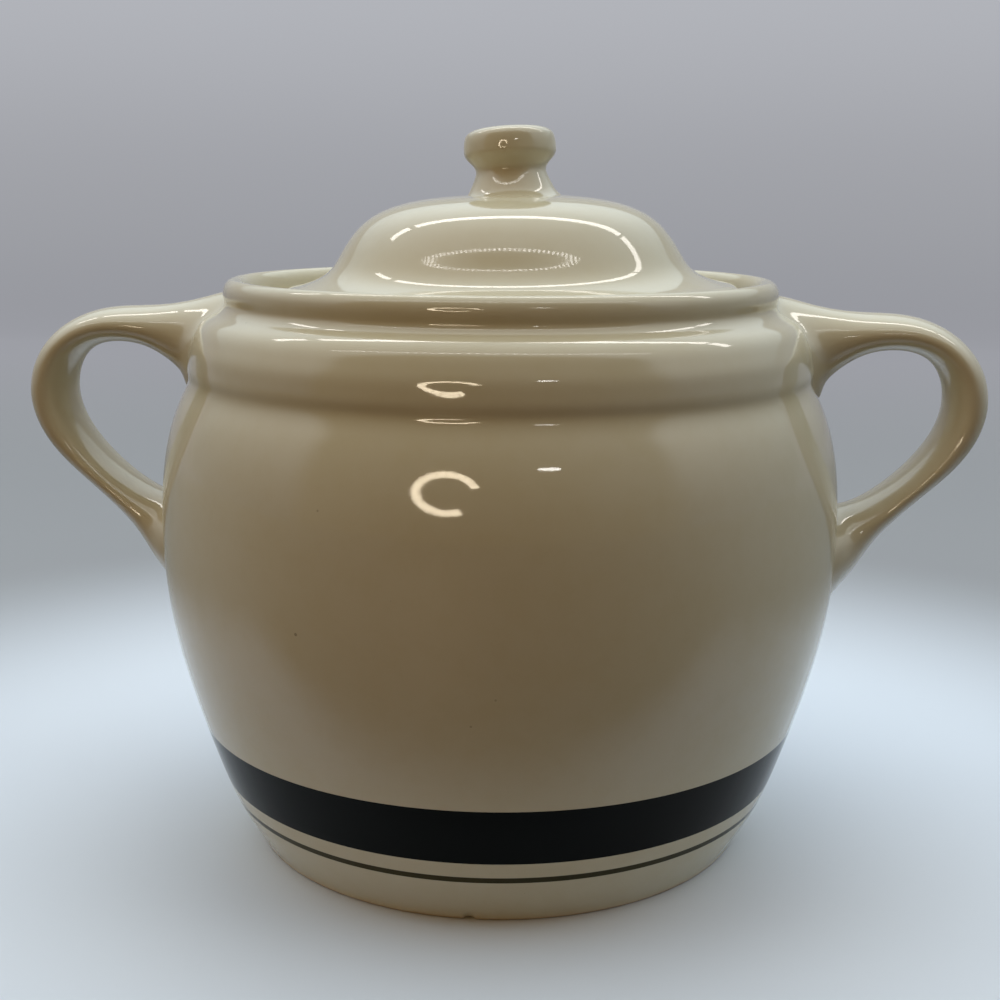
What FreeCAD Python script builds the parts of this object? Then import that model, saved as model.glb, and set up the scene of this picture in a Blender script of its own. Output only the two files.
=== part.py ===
import FreeCAD, Part
import math
import os

# Stoneware bean pot with two strap handles and a loose domed lid, in millimetres.
# Origin at the centre of the foot, +Z up, handles along X. Points are (radius, height).

# --- pot: outer profile ---
FOOT_ROUND = 1.0
BELLY = [
    (69.3, 1.0), (75.6, 12.0), (80.3, 24.0), (84.2, 36.0), (88.2, 50.0), (91.4, 65.0),
    (92.9, 80.0), (92.9, 95.0), (91.6, 108.0), (89.1, 118.0), (87.1, 123.0), (85.4, 126.6),
]
SHOULDER_RING = [(84.8, 128.9), (84.95, 130.8), (84.8, 133.6), (84.3, 136.6), (83.2, 139.6)]
NECK_COVE = [(81.7, 142.5), (80.2, 144.1), (77.6, 145.6), (75.5, 147.0), (74.7, 148.4)]
RIM_ROLL = [(74.9, 149.8), (75.0, 151.6), (74.4, 153.4), (72.4, 154.8), (70.2, 154.1), (69.1, 151.8)]
RIM_TOP = (72.4, 154.8)

# --- pot: inside, from the rim down to the floor ---
NECK_INSIDE = (68.8, 149.0)
LEDGE_HEIGHT = 147.0
LEDGE_INNER_RADIUS = 56.0
LEDGE_ROUND = 1.6
NECK_FILLET = 2.0
CAVITY = [
    (56.0, 143.0), (60.0, 139.0), (67.0, 135.0), (74.0, 129.6), (79.4, 122.0), (83.6, 112.0),
    (86.1, 100.0), (86.7, 87.0), (85.6, 70.0), (82.6, 54.0), (78.2, 38.0), (72.2, 23.0),
    (64.4, 12.8), (58.0, 9.4), (51.0, 8.1), (44.0, 8.0),
]

# --- pot: underside ---
FOOT_INNER_RADIUS = 60.0
FOOT_RECESS = 2.2
FOOT_SLOPE = 1.6

# --- fired-on colour bands, (bottom, top), inlaid flush with the belly ---
WIDE_BAND = (19.8, 35.6)
PIN_LINE = (13.7, 15.4)
BAND_DEPTH = 0.3

# --- handles: stations from the upper root to the lower root, each
#     (inner radius, inner height, outer radius, outer height, width across) ---
HANDLE_STATIONS = [
    (72.0, 118.3, 72.0, 150.9, 41.0),
    (85.9, 122.5, 78.5, 149.9, 31.8),
    (88.9, 127.6, 85.4, 148.1, 26.4),
    (93.2, 131.7, 91.2, 147.0, 24.2),
    (98.6, 134.8, 97.6, 146.4, 23.5),
    (105.0, 136.2, 105.0, 146.1, 23.4),
    (111.6, 135.7, 112.6, 145.1, 23.4),
    (117.2, 132.8, 121.1, 141.6, 23.4),
    (120.3, 127.8, 128.7, 134.3, 23.4),
    (121.0, 121.4, 132.3, 122.6, 23.4),
    (119.6, 115.3, 129.6, 111.9, 23.4),
    (114.6, 107.0, 121.0, 101.0, 23.4),
    (109.5, 101.5, 114.1, 94.8, 23.4),
    (103.9, 97.1, 108.4, 89.2, 23.6),
    (98.9, 94.3, 103.4, 83.4, 24.8),
    (94.7, 93.0, 99.3, 77.0, 28.0),
    (90.2, 92.6, 95.3, 72.0, 35.5),
    (79.9, 92.8, 84.6, 62.6, 42.0),
]
OVAL_QUARTER = 0.5523  # share of each half-axis that makes a quarter curve follow an oval

# --- lid: radii from its own axis; it lies LID_SHIFT along X, with its +X side up by LID_TILT ---
LID_SHIFT = 2.6
LID_TILT = 0.7
SEAT_GAP = 0.3
LID_TOP = [
    (0.0, 176.5), (8.0, 176.3), (17.0, 175.8), (25.0, 174.8), (31.8, 173.1), (36.9, 170.8),
    (40.4, 168.2), (43.0, 165.3), (45.0, 162.4), (46.8, 159.4), (48.5, 157.0), (50.9, 155.0),
    (54.2, 153.5), (58.2, 152.4), (60.8, 151.7), (62.1, 150.2), (62.0, 148.4),
]
FLANGE_UNDERSIDE_RADIUS = 60.8
COLLAR_OUTER_RADIUS = 52.4
COLLAR_INNER_RADIUS = 48.0
COLLAR_DROP = 5.0
COLLAR_ROUND = 1.8
COLLAR_FILLET = 1.0
LID_INSIDE = [
    (48.0, 147.4), (47.3, 151.0), (45.2, 155.0), (42.6, 159.2), (39.6, 162.9), (35.6, 166.2),
    (29.0, 168.9), (20.0, 170.6), (9.0, 171.4), (0.0, 171.6),
]

# --- knob: radii from its own axis, which is set off the lid's axis and leans a little ---
KNOB_SHIFT = 0.75
KNOB_LEAN_LEFT = 2.8
KNOB_LEAN_BACK = 4.0
KNOB = [
    (14.8, 174.5), (13.7, 175.2), (12.7, 176.0), (11.9, 176.9), (11.3, 177.9), (10.75, 179.0),
    (10.2, 180.2), (9.75, 181.3), (9.5, 182.4), (9.8, 183.6), (10.75, 184.8), (11.75, 185.9),
    (12.35, 187.0), (12.45, 188.2), (12.38, 189.6), (12.15, 191.0), (11.75, 192.0), (10.9, 192.8),
    (8.4, 193.65), (3.9, 194.0), (0.0, 194.05),
]

AXIS_FOOT = FreeCAD.Vector(0, 0, 0)
UP = FreeCAD.Vector(0, 0, 1)
ACROSS = FreeCAD.Vector(0, 1, 0)
ALONG = FreeCAD.Vector(1, 0, 0)
OUT = (1, 0)
IN = (-1, 0)
DOWN = (0, -1)


def at(point):
    return FreeCAD.Vector(point[0], 0, point[1])


def spline(points):
    curve = Part.BSplineCurve()
    curve.interpolate(Points=[at(p) for p in points])
    return curve


def line(first, last):
    return Part.LineSegment(at(first), at(last)).toShape()


def corner(point, arriving, leaving, radius):
    """A quarter-round of a right-angled corner, with the directions of its two sides."""
    first = (point[0] - arriving[0] * radius, point[1] - arriving[1] * radius)
    last = (point[0] + leaving[0] * radius, point[1] + leaving[1] * radius)
    centre = (first[0] + leaving[0] * radius, first[1] + leaving[1] * radius)
    reach = 1 / math.sqrt(2)
    middle = (
        centre[0] + (point[0] - centre[0]) * reach,
        centre[1] + (point[1] - centre[1]) * reach,
    )
    return Part.Arc(at(first), at(middle), at(last)).toShape()


def revolved(edges):
    face = Part.Face(Part.Wire(edges))
    return face.revolve(AXIS_FOOT, UP, 360)


def parameter_at(curve, height):
    """Where the pot's outer curve passes this height on its way up to the rim."""
    low = curve.FirstParameter
    high = curve.parameter(at(RIM_TOP))
    for _ in range(60):
        middle = (low + high) / 2
        if curve.value(middle).z < height:
            low = middle
        else:
            high = middle
    return (low + high) / 2


# --- the pot's outer curve runs from the foot up over the rim and down to the neck's inside ---
outside = spline(BELLY + SHOULDER_RING + NECK_COVE + RIM_ROLL + [NECK_INSIDE])
inlay_floor = outside.copy()
inlay_floor.translate(FreeCAD.Vector(-BAND_DEPTH, 0, 0))
foot_corner = (BELLY[0][0], 0)
foot_edge = corner(foot_corner, OUT, (0, 1), FOOT_ROUND)


def stretch(curve, bottom, top):
    return curve.toShape(parameter_at(curve, bottom), parameter_at(curve, top))


def step(height, inwards):
    """The short level line between the belly's surface and the floor of an inlay."""
    surface = outside.value(parameter_at(outside, height))
    floor = FreeCAD.Vector(surface.x - BAND_DEPTH, 0, surface.z)
    if inwards:
        return Part.LineSegment(surface, floor).toShape()
    return Part.LineSegment(floor, surface).toShape()


def outer_edges():
    """The pot's outside from the foot over the rim, stepping in at each inlaid band."""
    edges = []
    height = FOOT_ROUND
    for bottom, top in (PIN_LINE, WIDE_BAND):
        edges.append(stretch(outside, height, bottom))
        edges.append(step(bottom, True))
        edges.append(stretch(inlay_floor, bottom, top))
        edges.append(step(top, False))
        height = top
    edges.append(outside.toShape(parameter_at(outside, height), outside.LastParameter))
    return edges


def inner_edges():
    """From the rim across the lid's ledge, down the cavity and over the floor to the axis."""
    neck_radius = NECK_INSIDE[0]
    floor_edge = CAVITY[-1]
    fillet = corner((neck_radius, LEDGE_HEIGHT), DOWN, IN, NECK_FILLET)
    ledge = line(
        (neck_radius - NECK_FILLET, LEDGE_HEIGHT), (LEDGE_INNER_RADIUS + LEDGE_ROUND, LEDGE_HEIGHT)
    )
    lip = corner((LEDGE_INNER_RADIUS, LEDGE_HEIGHT), IN, DOWN, LEDGE_ROUND)
    throat = line((LEDGE_INNER_RADIUS, LEDGE_HEIGHT - LEDGE_ROUND), CAVITY[0])
    cavity = spline(CAVITY).toShape()
    floor = line(floor_edge, (0, floor_edge[1]))
    return [fillet, ledge, lip, throat, cavity, floor]


def foot_edges():
    """From the axis over the recessed underside and the flat foot ring to the foot's edge."""
    floor_height = CAVITY[-1][1]
    return [
        line((0, floor_height), (0, FOOT_RECESS)),
        line((0, FOOT_RECESS), (FOOT_INNER_RADIUS - FOOT_SLOPE, FOOT_RECESS)),
        line((FOOT_INNER_RADIUS - FOOT_SLOPE, FOOT_RECESS), (FOOT_INNER_RADIUS, 0)),
        line((FOOT_INNER_RADIUS, 0), (foot_corner[0] - FOOT_ROUND, 0)),
        foot_edge,
    ]


def pot_body():
    return revolved(outer_edges() + inner_edges() + foot_edges())


def filled_pot():
    """The pot's outside as a solid block, for shaping what is luted onto it."""
    return revolved([
        outside.toShape(),
        line(NECK_INSIDE, (0, NECK_INSIDE[1])),
        line((0, NECK_INSIDE[1]), (0, 0)),
        line((0, 0), (foot_corner[0] - FOOT_ROUND, 0)),
        foot_edge,
    ])


def band(bottom, top):
    return revolved([
        stretch(outside, bottom, top),
        step(top, True),
        stretch(inlay_floor, bottom, top),
        step(bottom, False),
    ])


def strap_section(inner_x, inner_z, outer_x, outer_z, width):
    """An oval, as four quarter curves: across in Y, inner to outer side in XZ."""
    centre = FreeCAD.Vector((inner_x + outer_x) / 2, 0, (inner_z + outer_z) / 2)
    outward = FreeCAD.Vector((outer_x - inner_x) / 2, 0, (outer_z - inner_z) / 2)
    across = FreeCAD.Vector(0, width / 2, 0)
    quarters = []
    for along, aside in ((outward, across), (across, -outward), (-outward, -across), (-across, outward)):
        quarter = Part.BezierCurve()
        quarter.setPoles([
            centre + along,
            centre + along + aside * OVAL_QUARTER,
            centre + along * OVAL_QUARTER + aside,
            centre + aside,
        ])
        quarters.append(quarter.toShape())
    return Part.Wire(quarters)


def right_handle():
    strap = Part.makeLoft([strap_section(*s) for s in HANDLE_STATIONS], True, False)
    return strap.cut(filled_pot())


def laid_on_ledge(shape):
    """Moves a piece of the lid from the pot's axis to where the lid lies, a little askew."""
    left_edge = at((-FLANGE_UNDERSIDE_RADIUS, LEDGE_HEIGHT + SEAT_GAP))
    shape.rotate(left_edge, ACROSS, -LID_TILT)
    shape.translate(FreeCAD.Vector(LID_SHIFT, 0, 0))
    return shape


def lid_top_edge():
    underside = LEDGE_HEIGHT + SEAT_GAP
    return spline(LID_TOP + [(FLANGE_UNDERSIDE_RADIUS, underside)]).toShape()


def lid_shell():
    underside = LEDGE_HEIGHT + SEAT_GAP
    bottom = underside - COLLAR_DROP
    outer = COLLAR_OUTER_RADIUS
    inner = COLLAR_INNER_RADIUS
    ceiling = LID_INSIDE[-1]
    lid = revolved([
        lid_top_edge(),
        line((FLANGE_UNDERSIDE_RADIUS, underside), (outer + COLLAR_FILLET, underside)),
        corner((outer, underside), IN, DOWN, COLLAR_FILLET),
        line((outer, underside - COLLAR_FILLET), (outer, bottom + COLLAR_ROUND)),
        corner((outer, bottom), DOWN, IN, COLLAR_ROUND),
        line((outer - COLLAR_ROUND, bottom), (inner + COLLAR_ROUND, bottom)),
        corner((inner, bottom), IN, (0, 1), COLLAR_ROUND),
        line((inner, bottom + COLLAR_ROUND), LID_INSIDE[0]),
        spline(LID_INSIDE).toShape(),
        line(ceiling, LID_TOP[0]),
    ])
    return laid_on_ledge(lid)


def filled_lid():
    underside = LEDGE_HEIGHT + SEAT_GAP
    return revolved([
        lid_top_edge(),
        line((FLANGE_UNDERSIDE_RADIUS, underside), (0, underside)),
        line((0, underside), LID_TOP[0]),
    ])


def lid_knob():
    foot_radius, foot_height = KNOB[0]
    knob = revolved([
        spline(KNOB).toShape(),
        line(KNOB[-1], (0, foot_height)),
        line((0, foot_height), (foot_radius, foot_height)),
    ])
    knob.rotate(at((0, foot_height)), ACROSS, -KNOB_LEAN_LEFT)
    knob.rotate(at((0, foot_height)), ALONG, -KNOB_LEAN_BACK)
    knob.translate(FreeCAD.Vector(KNOB_SHIFT, 0, 0))
    return laid_on_ledge(knob.cut(filled_lid()))


handle_right = right_handle()
handle_left = handle_right.mirror(AXIS_FOOT, ALONG)
NODES = {
    "pot_body": pot_body(),
    "wide_band": band(*WIDE_BAND),
    "pin_line": band(*PIN_LINE),
    "handle_right": handle_right,
    "handle_left": handle_left,
    "lid_shell": lid_shell(),
    "lid_knob": lid_knob(),
}

os.makedirs("parts", exist_ok=True)
for name, shape in NODES.items():
    solid = shape.Solids[0]
    solid.exportStep(f"parts/{name}.step")
    print(name, "volume", round(solid.Volume), "mm3")
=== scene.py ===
"""Looks of a lidded stoneware bean pot: turned body, strap handles, lid, knob and fired-on bands."""

import math

import bmesh
import bpy
import numpy as np
from bpy.props import FloatProperty, FloatVectorProperty, IntProperty, PointerProperty
from mathutils import Matrix, Vector


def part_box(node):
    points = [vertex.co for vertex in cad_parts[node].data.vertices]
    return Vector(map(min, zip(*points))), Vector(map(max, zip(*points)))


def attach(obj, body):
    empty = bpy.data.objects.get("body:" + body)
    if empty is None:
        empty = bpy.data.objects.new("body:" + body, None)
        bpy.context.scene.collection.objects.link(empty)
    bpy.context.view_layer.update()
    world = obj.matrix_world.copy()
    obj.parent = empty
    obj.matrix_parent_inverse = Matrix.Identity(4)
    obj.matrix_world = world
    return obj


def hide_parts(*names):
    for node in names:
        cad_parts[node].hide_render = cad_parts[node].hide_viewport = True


bl_info = {
    "name": "Stoneware bean pot",
    "version": (1, 0, 0),
    "blender": (4, 5, 0),
    "location": "View3D > Sidebar > Bean pot",
    "description": "Builds the glazed surfaces of a lidded bean pot and its studio stage",
    "category": "Object",
}

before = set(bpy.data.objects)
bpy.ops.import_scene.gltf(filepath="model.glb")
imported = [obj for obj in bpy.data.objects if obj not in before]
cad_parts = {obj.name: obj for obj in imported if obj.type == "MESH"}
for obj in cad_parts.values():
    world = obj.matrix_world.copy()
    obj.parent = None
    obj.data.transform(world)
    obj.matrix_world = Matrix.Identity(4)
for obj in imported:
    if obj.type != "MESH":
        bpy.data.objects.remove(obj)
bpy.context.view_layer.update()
MM = 0.001

# Profiles are (radius, height) in millimetres, the height counted from the foot's resting face.
BELLY = [
    (69.3, 1.0), (75.6, 12.0), (80.3, 24.0), (84.2, 36.0), (88.2, 50.0), (91.4, 65.0),
    (92.9, 80.0), (92.9, 95.0), (91.6, 108.0), (89.1, 118.0), (87.1, 123.0), (85.4, 126.6),
]
SHOULDER_RING = [(84.8, 128.9), (84.95, 130.8), (84.8, 133.6), (84.3, 136.6), (83.2, 139.6)]
NECK_COVE = [(81.7, 142.5), (80.2, 144.1), (77.6, 145.6), (75.5, 147.0), (74.7, 148.4)]
RIM_ROLL = [(74.9, 149.8), (75.0, 151.6), (74.4, 153.4), (72.4, 154.8), (70.2, 154.1), (69.1, 151.8)]
NECK_INSIDE = (68.8, 149.0)
LEDGE_HEIGHT = 147.0
LEDGE_INNER_RADIUS = 56.0
LEDGE_ROUND = 1.6
NECK_FILLET = 2.0
CAVITY = [
    (56.0, 143.0), (60.0, 139.0), (67.0, 135.0), (74.0, 129.6), (79.4, 122.0), (83.6, 112.0),
    (86.1, 100.0), (86.7, 87.0), (85.6, 70.0), (82.6, 54.0), (78.2, 38.0), (72.2, 23.0),
    (64.4, 12.8), (58.0, 9.4), (51.0, 8.1), (44.0, 8.0),
]
FOOT_ROUND = 1.0
FOOT_INNER_RADIUS = 60.0
FOOT_RECESS = 2.2
FOOT_SLOPE = 1.6
FOOT_EASE = 0.6
BAND_DEPTH = 0.3
CHIP_ANGLE = math.radians(-2.0)
CHIP_STEP = math.radians(0.25)
CHIP_CLEAR = math.radians(3.2)
CHIP_DEPTH = 0.2

# The lid lies a little off the pot's axis, with its right side up; the knob stands on its crown.
LID_TOP = [
    (0.0, 176.5), (8.0, 176.3), (17.0, 175.8), (25.0, 174.8), (31.8, 173.1), (36.9, 170.8),
    (40.4, 168.2), (43.0, 165.3), (45.0, 162.4), (46.8, 159.4), (48.5, 157.0), (50.9, 155.0),
    (54.2, 153.5), (58.2, 152.4), (60.8, 151.7), (62.1, 150.2), (62.0, 148.4), (60.8, 147.3),
]
LID_INSIDE = [
    (48.0, 147.4), (47.3, 151.0), (45.2, 155.0), (42.6, 159.2), (39.6, 162.9), (35.6, 166.2),
    (29.0, 168.9), (20.0, 170.6), (9.0, 171.4), (0.0, 171.6),
]
LID_UNDERSIDE = 147.3
COLLAR_OUTER_RADIUS = 52.4
COLLAR_INNER_RADIUS = 48.0
COLLAR_DROP = 5.0
COLLAR_ROUND = 1.8
COLLAR_FILLET = 1.0
LID_SHIFT = 2.6
LID_TILT = math.radians(0.7)
KNOB_SHIFT = 0.75
KNOB_LEAN_LEFT = math.radians(2.8)
KNOB_LEAN_BACK = math.radians(4.0)
KNOB = [
    (14.8, 174.5), (13.7, 175.2), (12.7, 176.0), (11.9, 176.9), (11.3, 177.9), (10.75, 179.0),
    (10.2, 180.2), (9.75, 181.3), (9.5, 182.4), (9.8, 183.6), (10.75, 184.8), (11.75, 185.9),
    (12.35, 187.0), (12.45, 188.2), (12.38, 189.6), (12.15, 191.0), (11.75, 192.0), (10.9, 192.8),
    (8.4, 193.65), (3.9, 194.0), (0.0, 194.05),
]

# A strap's stations from its upper root to its lower root, each
# (inner x, inner height, outer x, outer height, width across).
STRAP = [
    (72.0, 118.3, 72.0, 150.9, 41.0), (85.9, 122.5, 78.5, 149.9, 31.8),
    (88.9, 127.6, 85.4, 148.1, 26.4), (93.2, 131.7, 91.2, 147.0, 24.2),
    (98.6, 134.8, 97.6, 146.4, 23.5), (105.0, 136.2, 105.0, 146.1, 23.4),
    (111.6, 135.7, 112.6, 145.1, 23.4), (117.2, 132.8, 121.1, 141.6, 23.4),
    (120.3, 127.8, 128.7, 134.3, 23.4), (121.0, 121.4, 132.3, 122.6, 23.4),
    (119.6, 115.3, 129.6, 111.9, 23.4), (114.6, 107.0, 121.0, 101.0, 23.4),
    (109.5, 101.5, 114.1, 94.8, 23.4), (103.9, 97.1, 108.4, 89.2, 23.6),
    (98.9, 94.3, 103.4, 83.4, 24.8), (94.7, 93.0, 99.3, 77.0, 28.0),
    (90.2, 92.6, 95.3, 72.0, 35.5), (79.9, 92.8, 84.6, 62.6, 42.0),
]
ROOT_SUNK = 0.9  # how far a strap's root lies under the pot's skin
NECK_HEIGHTS = (0.138, 0.144)  # metres; the smoothed slip gets shorter between them
NECK_REACH = (1.0, 0.5)


def millimetres(name, default, about):
    return FloatProperty(name=name, default=default * MM, unit="LENGTH", precision=5, description=about)


def colour(name, default, about):
    return FloatVectorProperty(
        name=name, default=default, subtype="COLOR", size=3, min=0, max=1, description=about
    )


def amount(name, default, about):
    return FloatProperty(name=name, default=default, min=0, description=about)


class BeanPotSizes(bpy.types.PropertyGroup):
    facets: IntProperty(name="Facets", default=256, min=64, description="Faces round a turned piece")
    band_bottom: millimetres("Band bottom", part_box("wide_band")[0].z / MM, "Lower edge of the wide band")
    band_top: millimetres("Band top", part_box("wide_band")[1].z / MM, "Upper edge of the wide band")
    line_bottom: millimetres("Line bottom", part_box("pin_line")[0].z / MM, "Lower edge of the pin line")
    line_top: millimetres("Line top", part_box("pin_line")[1].z / MM, "Upper edge of the pin line")
    root_fillet: millimetres("Root fillet", 5.0, "Reach of the smoothed slip round a handle's roots")
    chip_width: millimetres("Chip width", 3.4, "Width of the small chip in the foot's front edge")


class BeanPotGlaze(bpy.types.PropertyGroup):
    cream: colour("Cream glaze", (0.60, 0.555, 0.42), "Colour of the glaze on the body, handles and lid")
    band: colour("Wide band", (0.002, 0.0035, 0.003), "Colour of the wide band")
    line: colour("Narrow line", (0.060, 0.052, 0.022), "Colour of the narrow line")
    biscuit: colour("Dry foot", (0.55, 0.45, 0.32), "Colour of the bare clay under the foot")
    speck: colour("Iron speck", (0.10, 0.07, 0.04), "Colour of the fine iron specks in the glaze")


class BeanPotStage(bpy.types.PropertyGroup):
    # Painted light on the stage: the floor is pale near the pot and dark away from it, a painted pool of
    # light, and the backdrop is darker near the floor, painted shade.
    floor: colour("Floor", (0.68, 0.74, 0.84), "Colour of the floor near the pot")
    far_floor: colour("Far floor", (0.26, 0.27, 0.295), "Colour of the floor away from the pot")
    backdrop: colour("Backdrop", (0.43, 0.445, 0.485), "Colour of the backdrop's upper part")
    backdrop_low: colour("Backdrop, low", (0.255, 0.26, 0.29), "Colour of the backdrop near the floor")
    canopy: colour("Canopy", (0.80, 0.895, 0.945), "Light from the canopy over and behind the pot")
    canopy_edge: colour("Canopy edge", (0.87, 0.905, 0.865), "Light from the canopy's front edge")
    walls: colour("Walls", (0.065, 0.105, 0.17), "Light from the foot of the walls beside and behind")
    wall_sheen: colour("Wall sheen", (0.15, 0.165, 0.18), "Foot of the walls, as the glaze mirrors it")
    room: colour("Room", (0.12, 0.10, 0.055), "The dim room in front, as the glaze mirrors it")
    room_left: colour("Room, left", (0.21, 0.105, 0.016), "Warm light from the room's left")
    room_right: colour("Room, right", (0.026, 0.016, 0.010), "Warm light from the room's right")
    daylight: amount("Daylight", 2.03, "Brightness of canopy, walls and room together")
    lamp_tone: colour("Lamp tone", (1.0, 0.98, 0.93), "Colour of the two strip lamps")
    back_strip: amount("Back strip", 9.0, "Brightness of the strip lamp behind the pot")
    front_strip: amount("Front strip", 10.0, "Brightness of the beaded strip lamp before the pot")
    ring_tone: colour("Ring tone", (1.0, 0.85, 0.62), "Colour of the ring lamp")
    ring: amount("Ring lamp", 18.0, "Brightness of the ring lamp beside the camera")


# --- outlines ---------------------------------------------------------------------------------


def flowing_line(points, steps):
    """A smooth line through points in millimetres, given back in metres."""
    points = np.array(points, float) * MM
    chord = np.linalg.norm(np.diff(points, axis=0), axis=1)
    slope = np.diff(points, axis=0) / chord[:, None]
    system = np.eye(len(points))
    load = np.zeros_like(points)
    for i in range(1, len(points) - 1):
        system[i, i - 1:i + 2] = chord[i - 1], 2 * (chord[i - 1] + chord[i]), chord[i]
        load[i] = 6 * (slope[i] - slope[i - 1])
    bend = np.linalg.solve(system, load)
    line = []
    for i, span in enumerate(chord):
        start = points[i] / span - bend[i] * span / 6
        end = points[i + 1] / span - bend[i + 1] * span / 6
        for t in np.arange(steps) / steps * span:
            left = span - t
            cubic = (bend[i] * left ** 3 + bend[i + 1] * t ** 3) / (6 * span)
            line.append(cubic + start * left + end * t)
    line.append(points[-1])
    return np.array(line)


def quarter_round(corner, arriving, leaving, radius, steps=6):
    """The points of a rounded right-angled corner, in metres."""
    corner, arriving, leaving = np.array(corner), np.array(arriving), np.array(leaving)
    centre = corner + (leaving - arriving) * radius
    turns = np.linspace(0, math.pi / 2, steps + 1)
    return np.array([
        (centre - leaving * radius * math.cos(t) + arriving * radius * math.sin(t)) * MM for t in turns
    ])


def radius_at(line, height):
    """The outside's radius at a height up to the rim."""
    rising = line[:np.argmax(line[:, 1]) + 1]
    return np.interp(height, rising[:, 1], rising[:, 0])


def pot_outside(steps=8):
    return flowing_line(BELLY + SHOULDER_RING + NECK_COVE + RIM_ROLL + [NECK_INSIDE], steps)


OUTSIDE = pot_outside(24)


# --- meshes -----------------------------------------------------------------------------------


def finished_piece(name, mesh, body, material, nodes):
    for face in mesh.polygons:
        face.use_smooth = True
    piece = bpy.data.objects.new(name, mesh)
    bpy.context.scene.collection.objects.link(piece)
    mesh.materials.append(material)
    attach(piece, body)
    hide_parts(*nodes)
    return piece


def turned_mesh(name, profile, angles, creases=()):
    """Turns a (radius, height) profile about the pot's axis. Creases are heights of sharp rings."""
    build = bmesh.new()
    rings = []
    for radius, height in profile:
        if radius < 1e-7:
            rings.append([build.verts.new((0, 0, height))])
        else:
            rings.append([
                build.verts.new((radius * math.sin(a), -radius * math.cos(a), height)) for a in angles
            ])
    for lower, upper in zip(rings, rings[1:]):
        count = max(len(lower), len(upper))
        for i in range(count):
            corners = []
            for vertex in (
                lower[i % len(lower)], lower[(i + 1) % len(lower)],
                upper[(i + 1) % len(upper)], upper[i % len(upper)],
            ):
                if vertex not in corners:
                    corners.append(vertex)
            build.faces.new(corners)
    bmesh.ops.recalc_face_normals(build, faces=build.faces)
    for edge in build.edges:
        level = abs(edge.verts[0].co.z - edge.verts[1].co.z) < 1e-9
        if level and any(abs(edge.verts[0].co.z - c) < 1e-7 for c in creases):
            edge.smooth = False
    mesh = bpy.data.meshes.new(name)
    build.to_mesh(mesh)
    build.free()
    return mesh


def even_angles(count):
    return [2 * math.pi * i / count for i in range(count)]


# --- node groups and materials ----------------------------------------------------------------

GLAZE_IOR = 1.52
BAND_IOR = 1.16
RIPPLE = 0.00012
# Heights of painted shade: the glaze is tinted darker and warmer in the shoulder groove and under the rim
# roll.
GROOVE_SHADE_BANDS = [(0.1245, 0.1286, 0.1315), (0.1440, 0.1475, 0.1500)]  # metres: start, deepest, end
BEYOND = (0.165, 0.17, 0.18)  # what shows past the floor's edges
# Painted shade: the floor before the pot is dark where the glaze mirrors it.
FLOOR_AHEAD = (0.10, 0.09, 0.07)  # the floor before the pot, as the glaze mirrors it
THROWN_NEAR = (0.50, 0.56, 0.64)  # light thrown back by the floor close to the foot
THROWN_FAR = (0.04, 0.03, 0.02)
UNLIT = (0.02, 0.02, 0.02)


def node(tree, kind, **settings):
    made = tree.nodes.new(kind)
    for key, value in settings.items():
        setattr(made, key, value)
    return made


def noise(tree, where, scale, detail=2.0, roughness=0.5):
    made = node(tree, "ShaderNodeTexNoise")
    made.inputs["Scale"].default_value = scale
    made.inputs["Detail"].default_value = detail
    made.inputs["Roughness"].default_value = roughness
    tree.links.new(where, made.inputs["Vector"])
    return made.outputs["Fac"]


def ramped(tree, value, low, high, to_low=0.0, to_high=1.0):
    made = node(tree, "ShaderNodeMapRange", interpolation_type="SMOOTHSTEP")
    made.inputs["From Min"].default_value = low
    made.inputs["From Max"].default_value = high
    made.inputs["To Min"].default_value = to_low
    made.inputs["To Max"].default_value = to_high
    tree.links.new(value, made.inputs["Value"])
    return made.outputs["Result"]


def combined(tree, operation, first, second):
    made = node(tree, "ShaderNodeMath", operation=operation)
    for slot, value in zip(made.inputs, (first, second)):
        if isinstance(value, (int, float)):
            slot.default_value = value
        else:
            tree.links.new(value, slot)
    return made.outputs[0]


def mixed(tree, share, first, second, blend="MIX"):
    made = node(tree, "ShaderNodeMix", data_type="RGBA", blend_type=blend)
    for name, value in (("Factor_Float", share), ("A_Color", first), ("B_Color", second)):
        slot = next(s for s in made.inputs if s.identifier == name)
        if isinstance(value, (int, float)):
            slot.default_value = value
        elif isinstance(value, tuple):
            slot.default_value = (*value[:3], 1.0)
        else:
            tree.links.new(value, slot)
    return next(s for s in made.outputs if s.identifier == "Result_Color")


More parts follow.
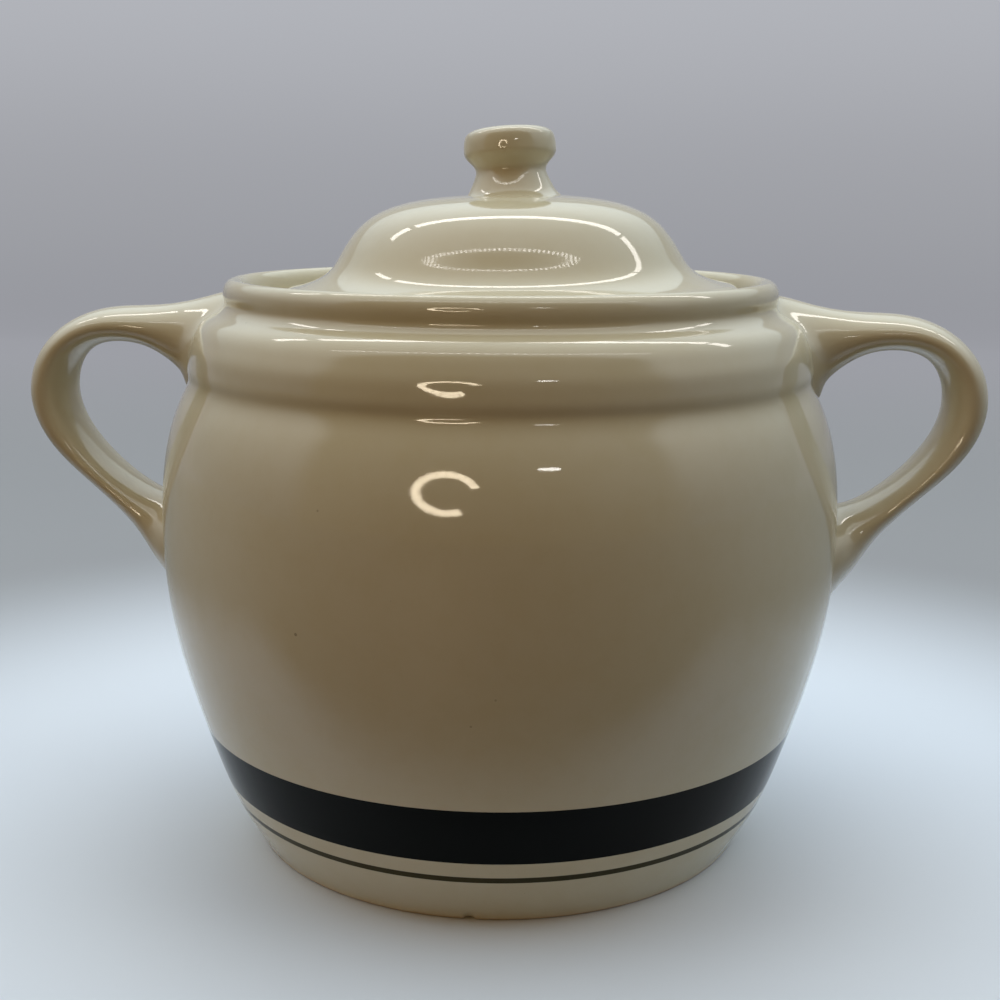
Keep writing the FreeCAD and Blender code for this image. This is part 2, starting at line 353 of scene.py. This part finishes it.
def glaze_surface():
    """Group: tone drift, fine mottle, iron specks, uneven gloss and the peel of a fired glaze."""
    name = "fired_glaze_surface"
    if name in bpy.data.node_groups:
        return bpy.data.node_groups[name]
    group = bpy.data.node_groups.new(name, "ShaderNodeTree")
    face = group.interface
    for label, kind, value in (
        ("Colour", "NodeSocketColor", (0.5, 0.5, 0.5, 1.0)),
        ("Deep colour", "NodeSocketColor", (0.4, 0.35, 0.2, 1.0)),
        ("Speck colour", "NodeSocketColor", (0.1, 0.07, 0.04, 1.0)),
        ("Drift", "NodeSocketFloat", 0.35),
        ("Specks", "NodeSocketFloat", 0.6),
        ("Gloss", "NodeSocketFloat", 0.07),
    ):
        face.new_socket(name=label, in_out="INPUT", socket_type=kind).default_value = value
    face.new_socket(name="Colour", in_out="OUTPUT", socket_type="NodeSocketColor")
    face.new_socket(name="Roughness", in_out="OUTPUT", socket_type="NodeSocketFloat")
    face.new_socket(name="Height", in_out="OUTPUT", socket_type="NodeSocketFloat")
    given = node(group, "NodeGroupInput").outputs
    where = node(group, "ShaderNodeTexCoord").outputs["Object"]

    drift = ramped(group, noise(group, where, 14.0, 3.0), 0.3, 0.7)
    mottle = ramped(group, noise(group, where, 160.0, 4.0, 0.6), 0.35, 0.75)
    depth = combined(group, "ADD", combined(group, "MULTIPLY", drift, 0.65),
                     combined(group, "MULTIPLY", mottle, 0.35))
    toned = mixed(group, combined(group, "MULTIPLY", depth, given["Drift"]),
                  given["Colour"], given["Deep colour"])

    cells = node(group, "ShaderNodeTexVoronoi", feature="F1")
    cells.inputs["Scale"].default_value = 170.0
    group.links.new(where, cells.inputs["Vector"])
    chance = node(group, "ShaderNodeSeparateColor")
    group.links.new(cells.outputs["Color"], chance.inputs[0])
    size = ramped(group, chance.outputs[0], 0.86, 1.0, 0.0, 0.075)
    dot = combined(group, "LESS_THAN", cells.outputs["Distance"], size)
    speck = combined(group, "MULTIPLY", combined(group, "MULTIPLY", dot, chance.outputs[1]),
                     given["Specks"])
    specked = mixed(group, speck, toned, given["Speck colour"])

    wiped = ramped(group, noise(group, where, 38.0, 4.0, 0.6), 0.35, 0.7, 0.7, 1.5)
    fine = ramped(group, noise(group, where, 900.0, 2.0), 0.3, 0.7, 0.9, 1.15)
    dullness = combined(group, "MULTIPLY", combined(group, "MULTIPLY", wiped, fine), given["Gloss"])

    slow = noise(group, where, 30.0, 1.0)
    peel = noise(group, where, 260.0, 1.0)
    height = combined(group, "ADD", slow, combined(group, "MULTIPLY", peel, 0.045))

    out = node(group, "NodeGroupOutput")
    group.links.new(specked, out.inputs["Colour"])
    group.links.new(dullness, out.inputs["Roughness"])
    group.links.new(height, out.inputs["Height"])
    return group


def deeper(tone, share):
    return tuple(c * s for c, s in zip(tone, share))


def glaze_material(name, tone, deep, drift, specks, gloss, ripple):
    """A glossy fired surface; gives back the material, its tree, the shader and the surface group."""
    look = bpy.context.scene.bean_pot_glaze
    material = bpy.data.materials.new(name)
    material.use_nodes = True
    material.diffuse_color = (*tone, 1.0)
    tree = material.node_tree
    shader = tree.nodes["Principled BSDF"]
    shader.inputs["IOR"].default_value = GLAZE_IOR
    surface = node(tree, "ShaderNodeGroup", node_tree=glaze_surface())
    for label, value in (
        ("Colour", (*tone, 1.0)), ("Deep colour", (*deep, 1.0)), ("Speck colour", (*look.speck, 1.0)),
        ("Drift", drift), ("Specks", specks), ("Gloss", gloss),
    ):
        surface.inputs[label].default_value = value
    bump = node(tree, "ShaderNodeBump")
    bump.inputs["Distance"].default_value = ripple
    bump.inputs["Strength"].default_value = 1.0
    tree.links.new(surface.outputs["Height"], bump.inputs["Height"])
    tree.links.new(surface.outputs["Colour"], shader.inputs["Base Color"])
    tree.links.new(surface.outputs["Roughness"], shader.inputs["Roughness"])
    tree.links.new(bump.outputs["Normal"], shader.inputs["Normal"])
    return material, tree, shader, surface


def cream_glaze(name):
    tone = tuple(bpy.context.scene.bean_pot_glaze.cream)
    return glaze_material(name, tone, deeper(tone, (0.93, 0.90, 0.80)), 0.8, 0.55, 0.045, RIPPLE)


def pot_glaze():
    """Cream glaze with painted shade in the shoulder groove and under the rim roll, and the foot wiped
    down to dry clay.
    """
    look = bpy.context.scene.bean_pot_glaze
    material, tree, shader, surface = cream_glaze("cream_glaze_pot")
    where = node(tree, "ShaderNodeTexCoord").outputs["Object"]
    parts = node(tree, "ShaderNodeSeparateXYZ")
    tree.links.new(where, parts.inputs[0])
    height = parts.outputs["Z"]

    # Painted shade: darker, warmer glaze in the shoulder groove and under the rim roll.
    groove_shade = 0.0
    for low, middle, high in GROOVE_SHADE_BANDS:
        rise = ramped(tree, height, low, middle)
        fall = ramped(tree, height, middle, high, 1.0, 0.0)
        groove_shade = combined(tree, "ADD", combined(tree, "MULTIPLY", rise, fall), groove_shade)
    groove_shaded = mixed(tree, combined(tree, "MULTIPLY", groove_shade, 0.35), surface.outputs["Colour"],
                   deeper(tuple(look.cream), (0.86, 0.82, 0.70)))

    wander = combined(tree, "MULTIPLY", noise(tree, where, 120.0, 3.0), 0.0007)
    wiped = ramped(tree, combined(tree, "SUBTRACT", height, wander), 0.0002, 0.0006, 1.0, 0.0)
    grain = noise(tree, where, 2600.0, 3.0, 0.7)
    clay = mixed(tree, combined(tree, "MULTIPLY", grain, 0.6), tuple(look.biscuit),
                 deeper(tuple(look.biscuit), (0.72, 0.66, 0.58)))
    tree.links.new(mixed(tree, wiped, groove_shaded, clay), shader.inputs["Base Color"])
    dull = node(tree, "ShaderNodeMix", data_type="FLOAT")
    tree.links.new(wiped, dull.inputs["Factor"])
    tree.links.new(surface.outputs["Roughness"], dull.inputs["A"])
    dull.inputs["B"].default_value = 0.8
    tree.links.new(dull.outputs["Result"], shader.inputs["Roughness"])
    return material


def band_glaze(name, tone):
    """A dense colour with little shine of its own."""
    deep = deeper(tone, (0.55, 0.62, 0.75))
    material, _, shader, _ = glaze_material(name, tone, deep, 1.0, 0.0, 0.12, RIPPLE)
    shader.inputs["IOR"].default_value = BAND_IOR
    return material


# --- pieces -----------------------------------------------------------------------------------


def inlay_levels():
    sizes = bpy.context.scene.bean_pot_sizes
    return [(sizes.line_bottom, sizes.line_top), (sizes.band_bottom, sizes.band_top)]


def band_skin(bottom, top, steps):
    """The belly's surface between two heights."""
    heights = np.linspace(bottom, top, steps + 1)
    return np.stack([radius_at(OUTSIDE, heights), heights], axis=1)


def recessed_outside():
    """The pot's outside, stepping in at each inlaid band."""
    line = pot_outside()
    rows = []
    start = 0
    for bottom, top in inlay_levels():
        stop = int(np.searchsorted(line[:, 1], bottom))
        skin = band_skin(bottom, top, 4)
        rows.extend([line[start:stop], skin[:1], skin - (BAND_DEPTH * MM, 0), skin[-1:]])
        start = int(np.searchsorted(line[:, 1], top, side="right"))
    rows.append(line[start:])
    return np.concatenate(rows)


def body_profile():
    """From the middle of the underside round the outside and the inside to the floor's middle."""
    slope_top = FOOT_INNER_RADIUS - FOOT_SLOPE
    underside = np.array([
        (0, FOOT_RECESS), (slope_top / 3, FOOT_RECESS), (slope_top * 2 / 3, FOOT_RECESS),
        (slope_top - FOOT_EASE, FOOT_RECESS), (slope_top, FOOT_RECESS - FOOT_EASE / 3),
        (FOOT_INNER_RADIUS - FOOT_EASE / 3, FOOT_EASE / 2), (FOOT_INNER_RADIUS + FOOT_EASE, 0),
        (FOOT_INNER_RADIUS + 4, 0),
    ]) * MM
    foot = quarter_round((BELLY[0][0], 0), (1, 0), (0, 1), FOOT_ROUND)[:-1]
    fillet = quarter_round((NECK_INSIDE[0], LEDGE_HEIGHT), (0, -1), (-1, 0), NECK_FILLET)[1:]
    ledge_lip = quarter_round((LEDGE_INNER_RADIUS, LEDGE_HEIGHT), (-1, 0), (0, -1), LEDGE_ROUND)
    floor = np.array([(CAVITY[-1][0] * s, CAVITY[-1][1]) for s in (0.66, 0.33, 0.0)]) * MM
    return np.concatenate([
        underside, foot, recessed_outside(), fillet, ledge_lip, flowing_line(CAVITY, 5), floor,
    ])


def chipped_angles(count):
    """Even angles round the pot, with closer ones at the chip in the foot."""
    close = [CHIP_ANGLE + CHIP_STEP * i for i in range(-10, 11)]
    spaced = [
        a for a in even_angles(count)
        if abs((a - CHIP_ANGLE + math.pi) % (2 * math.pi) - math.pi) > CHIP_CLEAR
    ]
    return sorted((a % (2 * math.pi)) for a in close + spaced)


def chip_foot(mesh, width):
    """Knocks a small flake out of the foot's front edge."""
    middle = Vector((math.sin(CHIP_ANGLE), -math.cos(CHIP_ANGLE), 0)) * BELLY[0][0] * MM
    for vertex in mesh.vertices:
        away = (vertex.co - middle).length / (width * 0.5)
        if away < 1:
            bite = (1 - away * away) * width * CHIP_DEPTH
            vertex.co += (Vector((0, 0, 0.8)) - middle.normalized() * 0.9) * bite


class BEANPOT_OT_body(bpy.types.Operator):
    """Turns the pot's body, with its ledge for the lid and its recesses for the bands"""
    bl_idname = "beanpot.body"
    bl_label = "Pot body"

    def execute(self, context):
        sizes = context.scene.bean_pot_sizes
        creases = [z for pair in inlay_levels() for z in pair]
        mesh = turned_mesh("pot_shell", body_profile(), chipped_angles(sizes.facets), creases)
        chip_foot(mesh, sizes.chip_width)
        finished_piece("pot_shell", mesh, "pot", pot_glaze(), ["pot_body"])
        return {"FINISHED"}


class BEANPOT_OT_bands(bpy.types.Operator):
    """Lays the wide band and the narrow line into the belly"""
    bl_idname = "beanpot.bands"
    bl_label = "Colour bands"

    def execute(self, context):
        sizes = context.scene.bean_pot_sizes
        look = context.scene.bean_pot_glaze
        for piece, cad, slot, tone, (bottom, top) in zip(
            ("narrow_line", "broad_band"), ("pin_line", "wide_band"),
            ("pin_line_colour", "wide_band_colour"), (look.line, look.band), inlay_levels(),
        ):
            skin = band_skin(bottom, top, 16)
            back = (skin - (BAND_DEPTH * MM, 0))[::-1]
            profile = np.concatenate([skin, back, skin[:1]])
            mesh = turned_mesh(piece, profile, chipped_angles(sizes.facets), (bottom, top))
            bm = bmesh.new()
            bm.from_mesh(mesh)
            bmesh.ops.remove_doubles(bm, verts=bm.verts, dist=1e-8)
            bm.to_mesh(mesh)
            bm.free()
            finished_piece(piece, mesh, "pot", band_glaze(slot, tuple(tone)), [cad])
        return {"FINISHED"}


def settled_on_pot(points, reach):
    """Lifts what would lie inside the pot to just under its surface, easing in over the reach."""
    radius = np.hypot(points[:, 0], points[:, 1])
    flat = np.stack([radius, points[:, 2]], axis=1)
    along = np.gradient(OUTSIDE, axis=0)
    normals = np.stack([along[:, 1], -along[:, 0]], axis=1)
    normals /= np.linalg.norm(normals, axis=1)[:, None]
    nearest = np.argmin(((flat[:, None] - OUTSIDE[None]) ** 2).sum(axis=2), axis=1)
    normal = normals[nearest]
    clear = ((flat - OUTSIDE[nearest]) * normal).sum(axis=1)
    floor = -ROOT_SUNK * MM
    reach = reach * np.interp(points[:, 2], NECK_HEIGHTS, NECK_REACH)
    near = np.clip(reach - abs(clear - floor), 0, None)
    lifted = np.maximum(clear, floor) + near ** 2 / (4 * reach)
    settled = flat + normal * (lifted - clear)[:, None]
    turned = settled[:, :1] / radius[:, None]
    return np.concatenate([points[:, :2] * turned, settled[:, 1:]], axis=1)


def strap_mesh(name, side, reach, steps=12, count=96):
    """A pulled strap of oval section, its roots smoothed onto the pot."""
    turns = np.linspace(0, 2 * math.pi, count, endpoint=False)
    build = bmesh.new()
    rings = []
    for inner_x, inner_z, outer_x, outer_z, width in flowing_line(STRAP, steps):
        out = np.cos(turns) / 2
        ring = np.stack([
            (inner_x + outer_x) / 2 + (outer_x - inner_x) * out,
            width / 2 * np.sin(turns),
            (inner_z + outer_z) / 2 + (outer_z - inner_z) * out,
        ], axis=1)
        settled = settled_on_pot(ring, reach)
        rings.append([build.verts.new((x * side, y, z)) for x, y, z in settled])
    for first, second in zip(rings, rings[1:]):
        for i in range(count):
            j = (i + 1) % count
            build.faces.new((first[i], first[j], second[j], second[i]))
    build.faces.new(rings[0])
    build.faces.new(rings[-1])
    bmesh.ops.recalc_face_normals(build, faces=build.faces)
    mesh = bpy.data.meshes.new(name)
    build.to_mesh(mesh)
    build.free()
    return mesh


class BEANPOT_OT_handles(bpy.types.Operator):
    """Pulls the two strap handles and lutes them onto the pot"""
    bl_idname = "beanpot.handles"
    bl_label = "Strap handles"

    def execute(self, context):
        sizes = context.scene.bean_pot_sizes
        material = cream_glaze("cream_glaze_handles")[0]
        for side, hand in ((1, "right"), (-1, "left")):
            mesh = strap_mesh(f"strap_{hand}", side, sizes.root_fillet)
            finished_piece(f"strap_{hand}", mesh, "pot", material, [f"handle_{hand}"])
        return {"FINISHED"}


def lid_place():
    """Where the lid lies on the ledge: turned about its left edge, then moved along X."""
    edge = Vector((-LID_TOP[-1][0] * MM, 0, LID_UNDERSIDE * MM))
    turn = Matrix.Translation(edge) @ Matrix.Rotation(-LID_TILT, 4, "Y") @ Matrix.Translation(-edge)
    return Matrix.Translation((LID_SHIFT * MM, 0, 0)) @ turn


def lid_profile():
    bottom = LID_UNDERSIDE - COLLAR_DROP
    outer, inner = COLLAR_OUTER_RADIUS, COLLAR_INNER_RADIUS
    return np.concatenate([
        flowing_line(LID_TOP, 8),
        quarter_round((outer, LID_UNDERSIDE), (-1, 0), (0, -1), COLLAR_FILLET),
        quarter_round((outer, bottom), (0, -1), (-1, 0), COLLAR_ROUND),
        quarter_round((inner, bottom), (-1, 0), (0, 1), COLLAR_ROUND),
        flowing_line(LID_INSIDE, 5),
    ])


class BEANPOT_OT_lid(bpy.types.Operator):
    """Turns the lid and lays it on its ledge"""
    bl_idname = "beanpot.lid"
    bl_label = "Lid"

    def execute(self, context):
        sizes = context.scene.bean_pot_sizes
        mesh = turned_mesh("lid_dome", lid_profile(), even_angles(sizes.facets))
        mesh.transform(lid_place())
        finished_piece("lid_dome", mesh, "lid", cream_glaze("cream_glaze_lid")[0],
                       ["lid_shell"])
        return {"FINISHED"}


class BEANPOT_OT_knob(bpy.types.Operator):
    """Turns the knob and lutes it onto the lid's crown"""
    bl_idname = "beanpot.knob"
    bl_label = "Knob"

    def execute(self, context):
        sizes = context.scene.bean_pot_sizes
        profile = np.concatenate([[(0, KNOB[0][1] * MM)], flowing_line(KNOB, 8)])
        mesh = turned_mesh("knob_turned", profile, even_angles(sizes.facets // 2))
        foot = Vector((0, 0, KNOB[0][1] * MM))
        turn = Matrix.Rotation(-KNOB_LEAN_BACK, 4, "X") @ Matrix.Rotation(-KNOB_LEAN_LEFT, 4, "Y")
        lean = Matrix.Translation(foot) @ turn @ Matrix.Translation(-foot)
        mesh.transform(lid_place() @ Matrix.Translation((KNOB_SHIFT * MM, 0, 0)) @ lean)
        finished_piece("knob_turned", mesh, "lid", cream_glaze("cream_glaze_knob")[0],
                       ["lid_knob"])
        return {"FINISHED"}


# --- stage ------------------------------------------------------------------------------------

CAMERA_DISTANCE = 0.4013
CAMERA_HEIGHT = 0.1778
CAMERA_BEARING = math.radians(4.0)
CAMERA_PITCH = math.radians(12.0)
CAMERA_ROLL = math.radians(0.27)
CAMERA_LENS = 52.27


def place_camera():
    """A level look at the pot from a little to the right, tipped down and rolled very slightly."""
    level = Vector((-math.sin(CAMERA_BEARING), math.cos(CAMERA_BEARING), 0))
    ahead = level * math.cos(CAMERA_PITCH) - Vector((0, 0, math.sin(CAMERA_PITCH)))
    above = level * math.sin(CAMERA_PITCH) + Vector((0, 0, math.cos(CAMERA_PITCH)))
    right = ahead.cross(above)
    rolled_right = right * math.cos(CAMERA_ROLL) + above * math.sin(CAMERA_ROLL)
    rolled_up = above * math.cos(CAMERA_ROLL) - right * math.sin(CAMERA_ROLL)
    data = bpy.data.cameras.new("camera")
    data.lens = CAMERA_LENS
    data.sensor_width = 36.0
    data.clip_start = 0.01
    camera = bpy.data.objects.new("camera", data)
    bpy.context.scene.collection.objects.link(camera)
    camera.matrix_world = Matrix.Translation(
        level * -CAMERA_DISTANCE + Vector((0, 0, CAMERA_HEIGHT))
    ) @ Matrix((rolled_right, rolled_up, -ahead)).transposed().to_4x4()
    bpy.context.scene.camera = camera


def stage_mesh(name, verts, faces, material):
    mesh = bpy.data.meshes.new(name)
    mesh.from_pydata(verts, [], faces)
    mesh.materials.append(material)
    obj = bpy.data.objects.new(name, mesh)
    bpy.context.scene.collection.objects.link(obj)
    return obj


def glowing(name, tone, strength):
    material = bpy.data.materials.new(name)
    material.use_nodes = True
    tree = material.node_tree
    tree.nodes.clear()
    glow = node(tree, "ShaderNodeEmission")
    glow.inputs["Color"].default_value = (*tone, 1.0)
    glow.inputs["Strength"].default_value = strength
    tree.links.new(glow.outputs[0], node(tree, "ShaderNodeOutputMaterial").inputs["Surface"])
    return material


def lamp_mesh(name, verts, faces, tone, strength):
    lamp = stage_mesh(name, verts, faces, glowing(name, tone, strength))
    lamp.visible_camera = False
    lamp.visible_diffuse = False
    return lamp


def floor_and_backdrop(stage):
    """A pale floor that sweeps up into a backdrop well behind the pot."""
    half, front, turn, radius, top, steps = 3.0, -2.5, 1.3, 0.4, 0.9, 16
    outline = [(front, 0.0), (turn, 0.0)]
    for i in range(1, steps + 1):
        angle = math.pi / 2 * i / steps
        outline.append((turn + radius * math.sin(angle), radius * (1 - math.cos(angle))))
    outline.append((turn + radius, top))
    verts = [(x, y, z) for y, z in outline for x in (-half, half)]
    faces = [(2 * i, 2 * i + 1, 2 * i + 3, 2 * i + 2) for i in range(len(outline) - 1)]
    material = bpy.data.materials.new("floor_paint")
    material.use_nodes = True
    tree = material.node_tree
    shader = tree.nodes["Principled BSDF"]
    where = node(tree, "ShaderNodeTexCoord").outputs["Object"]
    parts = node(tree, "ShaderNodeSeparateXYZ")
    tree.links.new(where, parts.inputs[0])
    away = node(tree, "ShaderNodeVectorMath", operation="LENGTH")
    tree.links.new(where, away.inputs[0])
    close = ramped(tree, away.outputs["Value"], 0.10, 0.17)
    spread = ramped(tree, away.outputs["Value"], 0.15, 0.36)
    rising = ramped(tree, parts.outputs["Y"], 0.40, 1.25)
    # Painted light: the backdrop darkens towards the floor, and the floor is pale near the pot and dark
    # away from it, a painted pool of light.
    climb = mixed(tree, ramped(tree, parts.outputs["Z"], 0.0, 0.5), tuple(stage.backdrop_low),
                  tuple(stage.backdrop))
    level = mixed(tree, spread, tuple(stage.floor), tuple(stage.far_floor))
    shade = ramped(tree, noise(tree, where, 3.0, 3.0), 0.3, 0.7, 0.0, 0.06)
    mottled = mixed(tree, shade, level, (0.35, 0.36, 0.38))
    path = node(tree, "ShaderNodeLightPath").outputs
    # Painted shade in the mirrored floor: glossy rays see the floor dark, except close beside and behind
    # the pot.
    beside = ramped(tree, away.outputs["Value"], 0.20, 0.36, 1.0, 0.3)
    ahead = combined(tree, "MULTIPLY", ramped(tree, parts.outputs["Y"], -0.14, -0.085), beside)
    ahead = combined(tree, "MAXIMUM", ahead, path["Is Camera Ray"])
    pale = mixed(tree, rising, mixed(tree, ahead, FLOOR_AHEAD, mottled), UNLIT)
    seen = combined(tree, "MAXIMUM", path["Is Camera Ray"], path["Is Glossy Ray"])
    seen = combined(tree, "MAXIMUM", seen, path["Is Transmission Ray"])
    thrown = mixed(tree, close, THROWN_NEAR, THROWN_FAR)
    tree.links.new(mixed(tree, seen, thrown, pale), shader.inputs["Base Color"])
    glow = mixed(tree, combined(tree, "MULTIPLY", seen, rising), (0.0, 0.0, 0.0), climb)
    tree.links.new(glow, shader.inputs["Emission Color"])
    shader.inputs["Emission Strength"].default_value = 1.0
    shader.inputs["Roughness"].default_value = 0.55
    sweep = stage_mesh("floor_sweep", verts, faces, material)
    for face in sweep.data.polygons:
        face.use_smooth = True


def surroundings(stage):
    """World light: a pale tent over and behind the pot, open on the dim warm room in front.

    The light that falls on the pot and the light that its glaze mirrors are cut off at different
    slants, and what the camera sees past the floor is plain.
    """
    world = bpy.data.worlds.new("surroundings")
    bpy.context.scene.world = world
    world.use_nodes = True
    tree = world.node_tree
    parts = node(tree, "ShaderNodeSeparateXYZ")
    tree.links.new(node(tree, "ShaderNodeTexCoord").outputs["Generated"], parts.inputs[0])
    across, back, up = parts.outputs[:3]
    path = node(tree, "ShaderNodeLightPath").outputs
    lighting = path["Is Diffuse Ray"]
    warmth = mixed(tree, ramped(tree, across, -0.8, 0.8), tuple(stage.room_left),
                   tuple(stage.room_right))
    ahead = mixed(tree, lighting, tuple(stage.room), warmth)
    sideways = combined(tree, "MULTIPLY", combined(tree, "ABSOLUTE", across, 0.0), 0.9)
    reach = combined(tree, "MAXIMUM", combined(tree, "MAXIMUM", sideways, up), 0.05)
    slant = combined(tree, "DIVIDE", back, reach)
    overhead = mixed(tree, ramped(tree, slant, -0.4, 0.9), tuple(stage.canopy_edge),
                     tuple(stage.canopy))
    foot = mixed(tree, lighting, tuple(stage.wall_sheen), tuple(stage.walls))
    tent = mixed(tree, ramped(tree, up, 0.0, 0.75), foot, overhead)
    inside = node(tree, "ShaderNodeMix", data_type="FLOAT")
    tree.links.new(lighting, inside.inputs["Factor"])
    tree.links.new(ramped(tree, slant, -0.68, -0.38), inside.inputs["A"])
    tree.links.new(ramped(tree, slant, -0.58, -0.10), inside.inputs["B"])
    light = tree.nodes["Background"]
    around = mixed(tree, inside.outputs["Result"], ahead, tent)
    around = mixed(tree, path["Is Camera Ray"], around, BEYOND)
    tree.links.new(around, light.inputs["Color"])
    light.inputs["Strength"].default_value = stage.daylight


LAMP_HEIGHT = 0.85
STRIP_HALF = 0.045
STRIP_BEHIND = 0.33
STRIP_PIECES = [(-0.80, -0.53), (-0.47, 0.62), (0.66, 0.98)]
BEADS = 41
BEAD_HALF = 0.009
RING_BEADS = 30
RING_REACH = (0.152, 0.208)
RING_SQUASH = 0.82
BAR_HALF = (0.068, 0.017)
BAR_CORNERS = 20
BAR_SLOPE = 0.09
POT_FRONT = (-0.006, -0.090, 0.113)


def square(verts, faces, x, y, z, half_x, half_y):
    start = len(verts)
    verts += [(x - half_x, y - half_y, z), (x + half_x, y - half_y, z), (x + half_x, y + half_y, z),
              (x - half_x, y + half_y, z)]
    faces.append(tuple(range(start, start + 4)))


def strip_lamps(stage):
    """A solid strip lamp just behind the pot and a beaded one just before it, both overhead."""
    verts, faces = [], []
    for left, right in STRIP_PIECES:
        middle, half = (left + right) / 2, (right - left) / 2
        square(verts, faces, middle, STRIP_BEHIND, LAMP_HEIGHT, half, STRIP_HALF)
    lamp_mesh("back_strip", verts, faces, tuple(stage.lamp_tone), stage.back_strip)
    verts, faces = [], []
    for i in range(BEADS):
        share = i / (BEADS - 1)
        x = -0.70 + 1.36 * share
        y = -0.37 + 0.14 * (2 * share - 1) ** 2
        square(verts, faces, x, y, LAMP_HEIGHT, BEAD_HALF, BEAD_HALF * 2)
    lamp_mesh("front_strip", verts, faces, tuple(stage.lamp_tone), stage.front_strip)


def lamp_across(bearing, rise):
    """The middle and the two cross directions of a lamp a metre from the pot's front."""
    toward = Vector((
        math.sin(bearing) * math.cos(rise), -math.cos(bearing) * math.cos(rise), math.sin(rise)
    ))
    side = Vector((0, 0, 1)).cross(toward).normalized()
    return Vector(POT_FRONT) + toward, side, toward.cross(side)


def ring_lamps(stage):
    """A beaded ring lamp, lit over most of its round, and a short bar, both beside the camera."""
    centre, side, over = lamp_across(math.radians(-13.4), math.radians(15.5))
    first, last = math.radians(20), math.radians(300)
    inner, outer = RING_REACH
    verts, faces = [], []
    for i in range(RING_BEADS):
        corners = []
        for share, reach in ((0.06, outer), (0.94, outer), (0.94, inner), (0.06, inner)):
            turn = first + (last - first) * (i + share) / RING_BEADS
            height = over * reach * RING_SQUASH * math.sin(turn)
            corners.append(centre + side * reach * math.cos(turn) + height)
        faces.append(tuple(range(len(verts), len(verts) + 4)))
        verts += corners
    lamp_mesh("ring_lamp", verts, faces, tuple(stage.ring_tone), stage.ring)
    centre, side, over = lamp_across(math.radians(22.2), math.radians(26.9))
    level = side - over * BAR_SLOPE
    verts = []
    for turn in even_angles(BAR_CORNERS):
        along, across = BAR_HALF[0] * math.cos(turn), BAR_HALF[1] * math.sin(turn)
        verts.append(centre + level * along + over * across)
    lamp_mesh("bar_lamp", verts, [tuple(range(BAR_CORNERS))], tuple(stage.lamp_tone), stage.ring)


class BEANPOT_OT_stage(bpy.types.Operator):
    """Sets the pale floor, the soft light and the camera"""
    bl_idname = "beanpot.stage"
    bl_label = "Stage"

    def execute(self, context):
        stage = context.scene.bean_pot_stage
        floor_and_backdrop(stage)
        surroundings(stage)
        strip_lamps(stage)
        ring_lamps(stage)
        place_camera()
        context.scene.view_settings.view_transform = "Standard"
        return {"FINISHED"}


# --- add-on -----------------------------------------------------------------------------------

STEPS = [
    BEANPOT_OT_body, BEANPOT_OT_bands, BEANPOT_OT_handles, BEANPOT_OT_lid, BEANPOT_OT_knob,
    BEANPOT_OT_stage,
]
SETTINGS = {
    "bean_pot_sizes": BeanPotSizes, "bean_pot_glaze": BeanPotGlaze, "bean_pot_stage": BeanPotStage,
}


class BEANPOT_PT_sidebar(bpy.types.Panel):
    """Lists the pot's pieces and the settings they are made from"""
    bl_label = "Bean pot"
    bl_space_type = "VIEW_3D"
    bl_region_type = "UI"
    bl_category = "Bean pot"

    def draw(self, context):
        for group in SETTINGS:
            settings = getattr(context.scene, group)
            column = self.layout.column()
            for name in settings.bl_rna.properties.keys():
                if name not in ("rna_type", "name"):
                    column.prop(settings, name)
        for step in STEPS:
            self.layout.operator(step.bl_idname)


def register():
    for group in [*SETTINGS.values(), *STEPS, BEANPOT_PT_sidebar]:
        bpy.utils.register_class(group)
    for name, group in SETTINGS.items():
        setattr(bpy.types.Scene, name, PointerProperty(type=group))


def unregister():
    for name in SETTINGS:
        delattr(bpy.types.Scene, name)
    for group in reversed([*SETTINGS.values(), *STEPS, BEANPOT_PT_sidebar]):
        bpy.utils.unregister_class(group)


def main():
    register()
    for step in STEPS:
        family, name = step.bl_idname.split(".")
        getattr(getattr(bpy.ops, family), name)()


if __name__ == "__main__":
    main()
